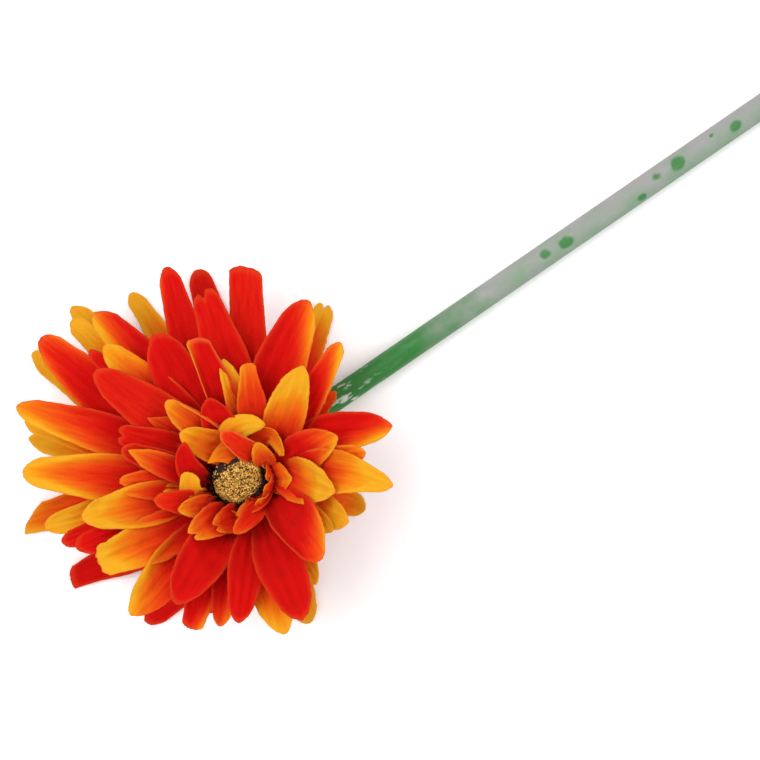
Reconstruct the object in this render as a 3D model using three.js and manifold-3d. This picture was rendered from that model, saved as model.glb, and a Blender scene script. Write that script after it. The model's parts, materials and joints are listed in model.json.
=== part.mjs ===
// Artificial gerbera: eight die-cut fabric petal layers threaded on the peg of a moulded calyx,
// closed by a button with a stamen fringe and a pollen dome, on a plastic tube stem with a steel
// wire inside. The flower lies on a flat surface: the stem runs along +X, its neck is bent up behind
// the head, and the backmost petals droop until they touch the surface.
import * as THREE from 'three';
import { mergeVertices } from 'three/addons/utils/BufferGeometryUtils.js';
import Module from 'manifold-3d';

const wasm = await Module();
wasm.setup();

const DEG = Math.PI / 180;

// Head: the face leans away from straight up, seen from above towards an angle from the stem.
const TILT = 20 * DEG;
const TILT_TOWARD = 100 * DEG;
const HUB_HEIGHT = 24;
const DISC_RISE = 12;

// The disc's middle stands this far to the -Y side of the stem's line.
const DISC_ASIDE = 2.8;

// Fabric layers, all sizes along the head's own axis or out from it.
const FABRIC = 0.5;
const LAYER_PITCH = 0.8;
const FIRST_LAYER = 0.3;
const HOLE_RADIUS = 2.3;
const LAYER_DISC_RADIUS = 8.5;
const ROOT_RADIUS = 6;
const FREE_RADIUS = 9.8;
const LEAVING_RADIUS = 10.8;
const BEND_RUN = 6;
const RELAX_RADIUS = 140;
const DROOP_START = 12;
const DROOP_END = 45;
const CREASE = 1.1;
const CREASE_WIDTH = 15;
const STAGGER = 0.07;
const SLOPE_STEP = 0.01;
const PETAL_SKIN = 0.36;
const LENGTH_STEPS = 5;
const WIDTH_STEPS = 2;
const RING_STEPS = 16;

// Petal outline, as shares of its widest and of its length.
const ROOT_WIDTH = 0.16;
const WIDEST_AT = 0.72;
const TIP_FROM = 0.8;
const TIP_NARROWS = 0.55;

// Stem, its wire and its route.
const STEM_RADIUS = 3.65;
const BORE_RADIUS = 1.8;
const WIRE_RADIUS = 1.5;
const STEM_END = 400;
const WIRE_STANDS_OUT = 2.5;
const BEND_START = 27;
const SOCKET_DEPTH = 4.5;
const STEM_SIDES = 16;
const BORE_SIDES = 8;
const PATH_STEPS = 20;
const SOCKET_RUN = 7;
const NECK_PULL = 5.5;
const NECK_LEVELS_OFF = 19;
const SOCKET_SHARE = 0.1;
const NECK_SHARE = 0.7;

// Calyx and its peg.
const GAP = 0.3;
const CALYX_LENGTH = 10.5;
const CALYX_RADIUS = 11;
const CALYX_RIM = 1.1;
const SOCKET_WALL = 1.3;
const COLLAR_WALL = 2.2;
const COLLAR_DOWN = 7;
const FLARE_RADIUS = 8.4;
const FLARE_DOWN = 3.4;
const PEG_RADIUS = 2;

// Button, stamens and pollen dome.
const BUTTON_RADIUS = 8.8;
const BUTTON_HEIGHT = 3.2;
const BUTTON_BORE_DEPTH = 2.4;
const BUTTON_CHAMFER = 0.8;
const BUTTON_GAP = 0.1;
const STAMEN_COUNT = 20;
const STAMEN_LENGTH = 5;
const STAMEN_LEAN = 38 * DEG;
const STAMEN_TIP = 0.28;
const STAMEN_FOOT = 0.4;
const STAMEN_SUNK = 0.5;
const STAMEN_CIRCLE = 8.05;
const STAMEN_LIFT = 0.6;
const FRINGE_INNER = 7.5;
const FRINGE_OUTER = 8.6;
const FRINGE_HEIGHT = 1.1;
const DOME_RADIUS = 7.2;
const DOME_HEIGHT = 6.4;
const DOME_EDGE = 0.8;
const DOME_UNDERCUT = 0.5;
const DOME_STEPS = 7;
const LATHE_STEPS = 20;

// Each layer: how steeply its petals rise from the head's plane, their width, and where each
// petal's tip stands seen from above, as [angle from the stem, reach from the disc's middle].
// A layer without a rise droops to the surface that the flower lies on.
const LAYERS = [
  {
    width: 15,
    tips: [[29, 58], [50, 62], [68, 64], [87, 65], [101, 72], [117, 72], [134, 65], [157, 66],
      [177, 63], [-156, 52], [-138, 44], [-101, 49], [-66, 39], [-50, 41]],
  },
  {
    rise: 13,
    width: 15,
    tips: [[9, 36], [18, 50], [54, 63], [75, 67], [100, 68], [132, 65], [148, 62], [164, 57],
      [-162, 51], [-136, 45], [-107, 46], [-88, 37], [-37, 42], [-16, 48]],
  },
  {
    rise: 22,
    width: 15,
    tips: [[35, 55], [66, 57], [111, 72], [128, 69], [144, 63], [169, 52], [177, 47], [-123, 42],
      [-98, 45], [-56, 35], [-37, 45], [-22, 39]],
  },
  {
    rise: 30,
    width: 14.5,
    tips: [[25, 38], [86, 49], [103, 56], [109, 52], [160, 46], [-151, 40], [-78, 33], [-63, 32],
      [-42, 29], [-11, 31]],
  },
  {
    rise: 38,
    width: 11,
    tips: [[49, 34], [63, 36], [73, 43], [112, 32], [127, 37], [149, 34]],
  },
  {
    rise: 46,
    width: 9.5,
    tips: [[96, 31], [112, 23], [131, 33], [146, 26], [163, 25], [-162, 22]],
  },
  {
    rise: 54,
    width: 8,
    tips: [[27, 19], [75, 25], [112, 21], [174, 20], [-149, 18], [-124, 18], [-34, 18], [-5, 18]],
  },
  {
    rise: 61,
    width: 7,
    tips: [[26, 16], [74, 17], [119, 17], [145, 16], [-150, 15], [-120, 15], [-88, 15], [-55, 15],
      [-20, 15]],
  },
];

const toward = new THREE.Vector2(Math.cos(TILT_TOWARD), Math.sin(TILT_TOWARD));
const headAxis = new THREE.Vector3(
  Math.sin(TILT) * toward.x,
  Math.sin(TILT) * toward.y,
  Math.cos(TILT),
);
const downSlope = new THREE.Vector3(
  Math.cos(TILT) * toward.x,
  Math.cos(TILT) * toward.y,
  -Math.sin(TILT),
);
const acrossSlope = new THREE.Vector3().crossVectors(headAxis, downSlope);
const hub = new THREE.Vector3(
  -DISC_RISE * headAxis.x,
  -DISC_RISE * headAxis.y - DISC_ASIDE,
  HUB_HEIGHT,
);
const buttonBase = FIRST_LAYER + LAYERS.length * LAYER_PITCH + BUTTON_GAP;
const buttonTop = buttonBase + BUTTON_HEIGHT;

// Finishes.

function plastic(color, roughness) {
  return new THREE.MeshStandardMaterial({ color, roughness, metalness: 0 });
}

function steel() {
  return new THREE.MeshStandardMaterial({ color: 0x8d9092, roughness: 0.4, metalness: 1 });
}

function dyedFabric(color) {
  return new THREE.MeshStandardMaterial({ color, roughness: 0.9, metalness: 0 });
}

// Closed meshes and booleans.

function solidOf(geometry) {
  const bare = geometry.clone();
  bare.deleteAttribute('normal');
  bare.deleteAttribute('uv');
  const merged = mergeVertices(bare, 1e-4);
  const mesh = new wasm.Mesh({
    numProp: 3,
    vertProperties: new Float32Array(merged.attributes.position.array),
    triVerts: new Uint32Array(merged.index.array),
  });
  return new wasm.Manifold(mesh);
}

function geometryOf(solid) {
  const mesh = solid.getMesh();
  const geometry = new THREE.BufferGeometry();
  geometry.setAttribute('position', new THREE.BufferAttribute(mesh.vertProperties, 3));
  geometry.setIndex(new THREE.BufferAttribute(mesh.triVerts, 1));
  geometry.computeVertexNormals();
  return geometry;
}

function united(geometries) {
  const [first, ...rest] = geometries.map(solidOf);
  return geometryOf(rest.reduce((sum, next) => sum.add(next), first));
}

function named(name, geometry, material) {
  const mesh = new THREE.Mesh(geometry, material);
  mesh.name = name;
  return mesh;
}

function turned(points, steps) {
  const profile = points.map(([r, z]) => new THREE.Vector2(r, z));
  return new THREE.LatheGeometry(profile, steps).rotateX(Math.PI / 2);
}

// Height of a layer over the head's plane, at x down the slope and y across it.

function rampUp(run) {
  if (run <= 0) return 0;
  const start = run < BEND_RUN ? (run * run) / (2 * BEND_RUN) : run - BEND_RUN / 2;
  return start - (run * run) / (2 * RELAX_RADIUS);
}

function risingHeight(layer, x, y) {
  const base = FIRST_LAYER + LAYER_PITCH * layer;
  const slope = Math.tan(LAYERS[layer].rise * DEG);
  return base + slope * rampUp(Math.hypot(x, y) - FREE_RADIUS);
}

function droopingHeight(x, y) {
  const surface = (x * Math.sin(TILT) - HUB_HEIGHT) / Math.cos(TILT);
  const share = THREE.MathUtils.smoothstep(Math.hypot(x, y), DROOP_START, DROOP_END);
  return FIRST_LAYER + share * (surface - FIRST_LAYER);
}

function heightAt(layer, x, y) {
  return LAYERS[layer].rise ? risingHeight(layer, x, y) : droopingHeight(x, y);
}

// Where on the head's plane a petal's tip has to be to stand at a place seen from above.

function tipOnHead(layer, angle, reach) {
  const spot = new THREE.Vector2(Math.cos(angle * DEG), Math.sin(angle * DEG))
    .multiplyScalar(reach)
    .addScaledVector(toward, DISC_RISE * Math.sin(TILT));
  const along = spot.dot(toward);
  const y = spot.cross(toward) * -1;
  let low = -100;
  let high = 100;
  for (let i = 0; i < 40; i++) {
    const x = (low + high) / 2;
    const seen = x * Math.cos(TILT) + heightAt(layer, x, y) * Math.sin(TILT);
    if (seen < along) low = x;
    else high = x;
  }
  return new THREE.Vector2(low, y);
}

// Half width of a petal, as a share of its widest, from its root at 0 to its tip at 1.

function outline(share) {
  const root = ROOT_WIDTH + (1 - ROOT_WIDTH) * THREE.MathUtils.smoothstep(share, 0, WIDEST_AT);
  const tip = Math.max(0, share - TIP_FROM) / (1 - TIP_FROM);
  return root * (1 - TIP_NARROWS * tip * tip);
}

// The first step of a petal lies flat on its layer's disc, and the others share the free length.
function stationRadius(share, end) {
  const first = 1 / LENGTH_STEPS;
  if (share < first) return THREE.MathUtils.lerp(ROOT_RADIUS, LEAVING_RADIUS, share / first);
  return THREE.MathUtils.lerp(LEAVING_RADIUS, end, (share - first) / (1 - first));
}

function petal(layer, tip, width, lift) {
  const geometry = new THREE.BoxGeometry(1, 1, 1, LENGTH_STEPS, WIDTH_STEPS, 1);
  const position = geometry.attributes.position;
  const aim = tip.angle();
  for (let i = 0; i < position.count; i++) {
    const share = position.getX(i) + 0.5;
    const side = position.getY(i) * 2;
    const r = stationRadius(share, tip.length());
    const off = (side * width * outline(share)) / 2;
    const x = r * Math.cos(aim) - off * Math.sin(aim);
    const y = r * Math.sin(aim) + off * Math.cos(aim);
    const height = heightAt(layer, x, y);
    const further = heightAt(layer, x * (1 + SLOPE_STEP), y * (1 + SLOPE_STEP));
    const slope = (further - height) / (SLOPE_STEP * Math.hypot(x, y));
    const skin = PETAL_SKIN * Math.hypot(1, slope);
    const raised = CREASE * share * Math.abs(side) * (width / CREASE_WIDTH);
    const top = position.getZ(i) > 0 ? skin : 0;
    position.setXYZ(i, x, y, height + lift + raised + top);
  }
  return geometry;
}

function layerDisc(layer) {
  const ring = new THREE.Shape();
  ring.absarc(0, 0, LAYER_DISC_RADIUS, 0, 2 * Math.PI);
  const hole = new THREE.Path();
  hole.absarc(0, 0, HOLE_RADIUS, 0, 2 * Math.PI, true);
  ring.holes.push(hole);
  const flat = new THREE.ExtrudeGeometry(ring, {
    depth: FABRIC,
    bevelEnabled: false,
    curveSegments: RING_STEPS / 2,
  });
  return flat.translate(0, 0, FIRST_LAYER + LAYER_PITCH * layer);
}

function petalLayer(layer) {
  const { tips, width } = LAYERS[layer];
  const petals = tips.map(([angle, reach], i) => {
    const tip = tipOnHead(layer, angle, reach);
    return petal(layer, tip, width, STAGGER * (i % 2));
  });
  return named(
    `petal_layer_${layer + 1}`,
    united([layerDisc(layer), ...petals]),
    dyedFabric(layer < 4 ? 0xd81a0c : 0xe8681a),
  );
}

// Calyx with its peg, button, stamens and dome, all turned about the head's axis.

function calyx() {
  const ceiling = SOCKET_DEPTH - CALYX_LENGTH + GAP;
  const socket = STEM_RADIUS + GAP;
  const profile = [
    [0, ceiling],
    [socket, ceiling],
    [socket, -CALYX_LENGTH],
    [socket + SOCKET_WALL, -CALYX_LENGTH],
    [socket + COLLAR_WALL, -COLLAR_DOWN],
    [FLARE_RADIUS, -FLARE_DOWN],
    [CALYX_RADIUS, -CALYX_RIM],
    [CALYX_RADIUS, 0],
    [PEG_RADIUS, 0],
    [PEG_RADIUS, buttonBase + BUTTON_BORE_DEPTH - GAP],
    [0, buttonBase + BUTTON_BORE_DEPTH - GAP],
  ];
  return named('calyx', turned(profile, LATHE_STEPS), plastic(0x3f8a48, 0.5));
}

function button() {
  const profile = [
    [0, buttonBase + BUTTON_BORE_DEPTH],
    [HOLE_RADIUS, buttonBase + BUTTON_BORE_DEPTH],
    [HOLE_RADIUS, buttonBase],
    [BUTTON_RADIUS - BUTTON_CHAMFER, buttonBase],
    [BUTTON_RADIUS, buttonBase + BUTTON_CHAMFER],
    [BUTTON_RADIUS, buttonTop - BUTTON_CHAMFER],
    [BUTTON_RADIUS - BUTTON_CHAMFER, buttonTop],
    [0, buttonTop],
  ];
  return named('disc_button', turned(profile, LATHE_STEPS), plastic(0x141010, 0.6));
}

function stamen(turn) {
  const stalk = new THREE.CylinderGeometry(STAMEN_TIP, STAMEN_FOOT, STAMEN_LENGTH, 4);
  stalk.translate(0, STAMEN_LENGTH / 2 - STAMEN_SUNK, 0);
  stalk.rotateX(Math.PI / 2);
  stalk.rotateY(STAMEN_LEAN);
  stalk.translate(STAMEN_CIRCLE, 0, buttonTop + GAP + STAMEN_LIFT);
  return stalk.rotateZ(turn);
}

function stamenRing() {
  const low = buttonTop + GAP;
  const high = low + FRINGE_HEIGHT;
  const section = [
    [FRINGE_INNER, low],
    [FRINGE_OUTER, low],
    [FRINGE_OUTER, high],
    [FRINGE_INNER, high],
    [FRINGE_INNER, low],
  ];
  const stalks = [];
  for (let i = 0; i < STAMEN_COUNT; i++) {
    stalks.push(stamen((i * 2 * Math.PI) / STAMEN_COUNT));
  }
  const fringe = united([turned(section, LATHE_STEPS), ...stalks]);
  return named('stamen_ring', fringe, plastic(0x33080a, 0.8));
}

function pollenDome() {
  const low = buttonTop + GAP;
  const rise = DOME_HEIGHT - DOME_EDGE;
  const profile = [[0, low], [DOME_RADIUS - DOME_UNDERCUT, low]];
  for (let i = 0; i <= DOME_STEPS; i++) {
    const angle = (i / DOME_STEPS) * (Math.PI / 2);
    profile.push([DOME_RADIUS * Math.cos(angle), low + DOME_EDGE + rise * Math.sin(angle)]);
  }
  profile[profile.length - 1][0] = 0;
  return named('pollen_dome', turned(profile, LATHE_STEPS), plastic(0xd2a648, 0.9));
}

// The stem's axis: straight in the calyx socket, round the neck, then straight along the surface.

class StemRoute extends THREE.Curve {
  constructor(start, end) {
    super();
    this.start = start;
    this.end = end;
    const neckEnd = hub.clone().addScaledVector(headAxis, start - SOCKET_RUN);
    this.neck = new THREE.CubicBezierCurve3(
      neckEnd,
      neckEnd.clone().addScaledVector(headAxis, -NECK_PULL),
      new THREE.Vector3(BEND_START - NECK_LEVELS_OFF, 0, STEM_RADIUS),
      new THREE.Vector3(BEND_START, 0, STEM_RADIUS),
    );
  }

  getPoint(t, target = new THREE.Vector3()) {
    if (t < SOCKET_SHARE) {
      const back = this.start - SOCKET_RUN * (t / SOCKET_SHARE);
      return target.copy(hub).addScaledVector(headAxis, back);
    }
    if (t < NECK_SHARE) {
      return this.neck.getPoint((t - SOCKET_SHARE) / (NECK_SHARE - SOCKET_SHARE), target);
    }
    const far = (t - NECK_SHARE) / (1 - NECK_SHARE);
    return target.set(BEND_START + far * (this.end - BEND_START), 0, STEM_RADIUS);
  }

  getPointAt(u, target) {
    return this.getPoint(u, target);
  }

  getTangentAt(u, target) {
    return this.getTangent(u, target);
  }
}

function roundSection(radius, sides) {
  const points = [];
  for (let i = 0; i < sides; i++) {
    const angle = (i / sides) * 2 * Math.PI;
    points.push(new THREE.Vector2(radius * Math.cos(angle), radius * Math.sin(angle)));
  }
  return points;
}

function alongRoute(section, start, end) {
  return new THREE.ExtrudeGeometry(section, {
    steps: PATH_STEPS,
    bevelEnabled: false,
    extrudePath: new StemRoute(start, end),
  });
}

function stemTube() {
  const section = new THREE.Shape(roundSection(STEM_RADIUS, STEM_SIDES));
  section.holes.push(new THREE.Path(roundSection(BORE_RADIUS, BORE_SIDES).reverse()));
  const start = SOCKET_DEPTH - CALYX_LENGTH;
  return named('stem_tube', alongRoute(section, start, STEM_END), plastic(0x9fb5a0, 0.6));
}

function stemWire() {
  const section = new THREE.Shape(roundSection(WIRE_RADIUS, BORE_SIDES));
  const start = SOCKET_DEPTH - CALYX_LENGTH;
  return named('stem_wire', alongRoute(section, start, STEM_END + WIRE_STANDS_OUT), steel());
}

function head() {
  const group = new THREE.Group();
  const basis = new THREE.Matrix4().makeBasis(downSlope, acrossSlope, headAxis);
  group.quaternion.setFromRotationMatrix(basis);
  group.position.copy(hub);
  group.add(calyx());
  for (let layer = 0; layer < LAYERS.length; layer++) {
    group.add(petalLayer(layer));
  }
  group.add(button(), stamenRing(), pollenDome());
  return group;
}

function gerbera() {
  const flower = new THREE.Group();
  flower.add(head(), stemTube(), stemWire());
  flower.updateMatrixWorld(true);
  const box = new THREE.Box3().setFromObject(flower, true);
  const middle = box.getCenter(new THREE.Vector3());
  flower.position.set(-middle.x, -middle.y, -box.min.z);
  flower.updateMatrixWorld(true);
  return flower;
}

export default gerbera();
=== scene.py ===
"""Artificial gerbera lying on a pale surface: layered dyed cloth petals, a dark centre and a frosted stem."""

from __future__ import annotations

import json
import logging
import math
import random
from dataclasses import dataclass, field
from enum import Enum
from functools import cached_property
from typing import Any

import bmesh
import bpy
from bmesh.types import BMEdge, BMesh, BMFace, BMVert
from bpy.types import Material, Node, NodeSocket, NodeTree, Object
from mathutils import Matrix, Vector, noise

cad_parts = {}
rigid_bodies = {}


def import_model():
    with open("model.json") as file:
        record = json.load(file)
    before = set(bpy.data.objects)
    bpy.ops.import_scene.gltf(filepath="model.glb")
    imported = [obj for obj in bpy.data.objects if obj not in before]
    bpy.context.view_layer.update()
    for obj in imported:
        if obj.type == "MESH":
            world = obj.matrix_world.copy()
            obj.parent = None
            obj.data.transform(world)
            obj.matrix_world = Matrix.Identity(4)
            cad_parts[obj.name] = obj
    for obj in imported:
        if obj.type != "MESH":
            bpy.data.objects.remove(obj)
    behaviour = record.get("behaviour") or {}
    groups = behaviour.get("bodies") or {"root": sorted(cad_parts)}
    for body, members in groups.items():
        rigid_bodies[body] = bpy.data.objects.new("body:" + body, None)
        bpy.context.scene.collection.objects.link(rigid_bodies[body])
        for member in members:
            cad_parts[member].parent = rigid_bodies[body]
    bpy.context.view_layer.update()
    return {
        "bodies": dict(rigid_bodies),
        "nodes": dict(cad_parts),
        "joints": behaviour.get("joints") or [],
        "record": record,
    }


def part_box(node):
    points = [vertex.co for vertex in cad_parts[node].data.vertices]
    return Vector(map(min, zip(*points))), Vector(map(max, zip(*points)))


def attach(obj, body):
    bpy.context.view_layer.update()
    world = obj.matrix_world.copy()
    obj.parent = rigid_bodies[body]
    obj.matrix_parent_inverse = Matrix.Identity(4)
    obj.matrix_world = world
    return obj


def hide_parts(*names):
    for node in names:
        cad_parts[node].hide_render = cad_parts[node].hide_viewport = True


logging.basicConfig(level=logging.INFO, format="%(message)s")
LOG = logging.getLogger("gerbera")

MM = 0.001
BODY = "root"


# ---------------------------------------------------------------------------
# Small tools


def smooth(low: float, high: float, value: float) -> float:
    """Ease from 0 at low to 1 at high.

    Args:
        low: Where the ease starts.
        high: Where the ease ends.
        value: The place along it.

    Returns:
        A share from 0 to 1.
    """
    share = min(1.0, max(0.0, (value - low) / (high - low)))
    return share * share * (3.0 - 2.0 * share)


def linear(hex_colour: str) -> tuple[float, float, float, float]:
    """Turn an sRGB hex colour into linear values.

    Args:
        hex_colour: Six hex digits.

    Returns:
        Linear red, green, blue and alpha.
    """
    parts = [int(hex_colour[i : i + 2], 16) / 255.0 for i in (0, 2, 4)]
    made = [c / 12.92 if c <= 0.04045 else ((c + 0.055) / 1.055) ** 2.4 for c in parts]
    return (made[0], made[1], made[2], 1.0)


def polar(angle: float) -> Vector:
    """A unit vector in plan, at degrees anticlockwise from the stem."""
    return Vector((math.cos(math.radians(angle)), math.sin(math.radians(angle)), 0.0))


def add_node(tree: NodeTree, kind: str, inputs: dict[Any, Any] | None = None, **settings: Any) -> Node:
    """Add a shader node with its settings, its values and its links.

    Args:
        tree: The tree that gets the node.
        kind: The node's class name without its prefix.
        inputs: Input socket by name or number, to a value, a socket or a node's first output.
        settings: The node's own attributes.

    Returns:
        The new node.
    """
    node = tree.nodes.new(f"ShaderNode{kind}")
    for name, value in settings.items():
        setattr(node, name, value)
    for name, value in (inputs or {}).items():
        if isinstance(value, (Node, NodeSocket)):
            tree.links.new(value.outputs[0] if isinstance(value, Node) else value, node.inputs[name])
        else:
            node.inputs[name].default_value = value
    return node


def ramp(node: Node, stops: list[tuple[float, str]]) -> None:
    """Set the stops of a colour ramp.

    Args:
        node: The ramp node.
        stops: Place and sRGB hex colour, from 0 to 1.
    """
    elements = node.color_ramp.elements
    while len(elements) > 2:
        elements.remove(elements[-1])
    while len(elements) < len(stops):
        elements.new(0.5)
    for element, (place, colour) in zip(elements, stops):
        element.position = place
        element.color = linear(colour)


class Finish:
    """A finish that builds its own nodes. Each one states its label."""

    label: str

    def surface(self, tree: NodeTree) -> Node:
        """Build the nodes in the tree and return the shader."""
        raise NotImplementedError

    def material(self) -> Material:
        """Make the material from its nodes.

        Returns:
            The material.
        """
        material = bpy.data.materials.new(self.label)
        material.use_nodes = True
        tree = material.node_tree
        tree.nodes.clear()
        output = tree.nodes.new("ShaderNodeOutputMaterial")
        tree.links.new(self.surface(tree).outputs[0], output.inputs["Surface"])
        return material


def rod(shape: BMesh, sides: int, steps: int) -> list[BMVert]:
    """Add an upright rod of radius 1 from height 0 to height 1, closed at both ends.

    Args:
        shape: The mesh that gets it.
        sides: Corners of its section.
        steps: Steps along it.

    Returns:
        Its vertices.
    """
    verts = list(bmesh.ops.create_circle(shape, cap_ends=True, radius=1.0, segments=sides)["verts"])
    face = verts[0].link_faces[0]
    for _ in range(steps):
        grown = bmesh.ops.extrude_face_region(shape, geom=[face])["geom"]
        new = [g for g in grown if isinstance(g, BMVert)]
        face = next(g for g in grown if isinstance(g, BMFace))
        bmesh.ops.translate(shape, vec=(0, 0, 1 / steps), verts=new)
        verts += new
    return verts


def mesh_object(name: str, shape: BMesh, material: Material) -> Object:
    """Turn a bmesh, in millimetres in the row frame, into an object.

    Args:
        name: The object's name.
        shape: The bmesh, which is freed.
        material: The finish.

    Returns:
        The linked object, at the origin.
    """
    bmesh.ops.scale(shape, vec=(MM, MM, MM), verts=shape.verts)
    mesh = bpy.data.meshes.new(name)
    shape.to_mesh(mesh)
    shape.free()
    mesh.polygons.foreach_set("use_smooth", [True] * len(mesh.polygons))
    mesh.materials.append(material)
    made = bpy.data.objects.new(name, mesh)
    bpy.context.scene.collection.objects.link(made)
    return made


def stand_for(piece: Object, *nodes: str) -> None:
    """Fix a piece to the flower and let it stand for CAD nodes."""
    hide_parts(*nodes)
    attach(piece, BODY)
    LOG.info("%s: %d faces", piece.name, len(piece.data.polygons))


# ---------------------------------------------------------------------------
# The head's frame


@dataclass(frozen=True)
class Head:
    """Where the head stands and how it leans, in millimetres in the row frame.

    Attributes:
        tilt: Lean of the face from straight up, in degrees.
        toward: The side it leans to, in degrees from the stem.
        disc_rise: Height of the disc's middle over the hub, along the head's axis.
        button_rise: Height of the button's middle over the hub.
        pitch: Step between petal layers on the peg.
        first: Height of the first layer over the hub.
    """

    tilt: float = 20.0
    toward: float = 100.0
    disc_rise: float = 12.0
    button_rise: float = 8.4
    pitch: float = 0.8
    first: float = 0.3

    def axis(self) -> Vector:
        """The head's own axis."""
        lean = math.radians(self.tilt)
        return polar(self.toward) * math.sin(lean) + Vector((0, 0, math.cos(lean)))

    def down(self) -> Vector:
        """The direction in the head's plane that goes down the slope."""
        lean = math.radians(self.tilt)
        return polar(self.toward) * math.cos(lean) - Vector((0, 0, math.sin(lean)))

    def across(self) -> Vector:
        """The level direction in the head's plane."""
        return self.axis().cross(self.down())

    @cached_property
    def hub(self) -> Vector:
        """The top of the calyx, found from the button's box."""
        low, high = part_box("disc_button")
        return (low + high) / 2 / MM - self.axis() * self.button_rise

    @cached_property
    def disc(self) -> Vector:
        """The disc's middle."""
        return self.hub + self.axis() * self.disc_rise

    def place(self, angle: float, radius: float, height: float) -> Vector:
        """A point by its place round the head's axis.

        Args:
            angle: Degrees from the stem, seen from above.
            radius: Distance from the axis.
            height: Height over the hub along the axis.

        Returns:
            The point in the row frame.
        """
        turn = math.radians(angle - self.toward)
        flat = self.down() * math.cos(turn) + self.across() * math.sin(turn)
        return self.hub + flat * radius + self.axis() * height

    def matrix(self) -> Matrix:
        """The turn and place that take a piece made upright at the origin to the hub."""
        turn = Matrix((self.down(), self.across(), self.axis())).transposed().to_4x4()
        return Matrix.Translation(self.hub) @ turn


# ---------------------------------------------------------------------------
# Finishes


@dataclass(frozen=True)
class PetalCloth(Finish):
    """Polyester petal cloth, woven, dyed by airbrush from red to yellow and stiffened.

    The dye lies in the weave, so the colour is strong and the surface dull, with a soft sheen at
    grazing angles and a fine rib of threads.
    """

    label: str = "dyed_polyester_petal_cloth"
    thread_mm: float = 0.75  # real threads of 0.25 mm are too fine to show, so they are drawn coarser
    roughness: float = 0.78
    stops: tuple[tuple[float, str], ...] = (
        (0.0, "CE0000"), (0.14, "D40802"), (0.28, "DB2206"), (0.42, "E13E08"), (0.56, "E45A0B"),
        (0.7, "E6760D"), (0.84, "E89210"), (1.0, "E8AC20"),
    )

    def surface(self, tree: NodeTree) -> Node:
        """Build the cloth's nodes.

        Args:
            tree: The material's tree.

        Returns:
            The shader.
        """
        dye = add_node(tree, "Attribute", attribute_name="dye")
        # rim carries a painted highlight along each petal's edges and tip
        rim = add_node(tree, "Attribute", attribute_name="rim")
        # depth carries a painted shade: each petal is darker towards its root, where the petals crowd round
        # the disc
        depth = add_node(tree, "Attribute", attribute_name="depth")
        uv = add_node(tree, "UVMap", uv_map="cloth")
        streaks = add_node(tree, "Mapping", {"Scale": (1.1, 0.12, 1.0), "Vector": uv})
        bleed = add_node(tree, "TexNoise", {"Scale": 1.0, "Detail": 4.0, "Vector": streaks})
        spread = add_node(tree, "Math", {
            0: bleed.outputs["Fac"], 1: 0.34, 2: -0.16,
        }, operation="MULTIPLY_ADD")
        blended = add_node(tree, "Math", {0: dye.outputs["Fac"], 1: spread}, operation="ADD", use_clamp=True)
        colour = add_node(tree, "ValToRGB", {"Fac": blended})
        ramp(colour, list(self.stops))
        # Painted highlight: the edges are mixed towards a light orange
        edge = add_node(tree, "Mix", {
            0: rim.outputs["Fac"], 6: colour.outputs["Color"], 7: linear("F08A3C"),
        }, data_type="RGBA")
        # Painted shade: the colour is multiplied towards a deep red near the roots
        shade = add_node(tree, "Mix", {
            0: depth.outputs["Fac"], 6: edge.outputs[2], 7: linear("D83020"),
        }, data_type="RGBA", blend_type="MULTIPLY")
        ribs = [
            add_node(
                tree, "TexWave", {"Scale": 0.3 / self.thread_mm / 0.955, "Distortion": wobble, "Vector": uv},
                bands_direction=way,
            ).outputs["Fac"]
            for way, wobble in (("X", 1.2), ("Y", 0.6))
        ]
        weave = add_node(tree, "Math", {0: ribs[0], 1: ribs[1]}, operation="ADD")
        bump = add_node(tree, "Bump", {"Strength": 0.16, "Distance": 0.0002, "Height": weave})
        cloth = add_node(tree, "BsdfPrincipled", {
            "Roughness": self.roughness, "IOR": 1.5, "Specular IOR Level": 0.12, "Sheen Weight": 0.08,
            "Sheen Roughness": 0.5, "Sheen Tint": linear("FFB080"), "Base Color": shade.outputs[2],
            "Normal": bump,
        })
        glow = add_node(tree, "BsdfTranslucent", {"Color": shade.outputs[2], "Normal": bump})
        return add_node(tree, "MixShader", {"Fac": 0.28, 1: cloth, 2: glow})


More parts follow.
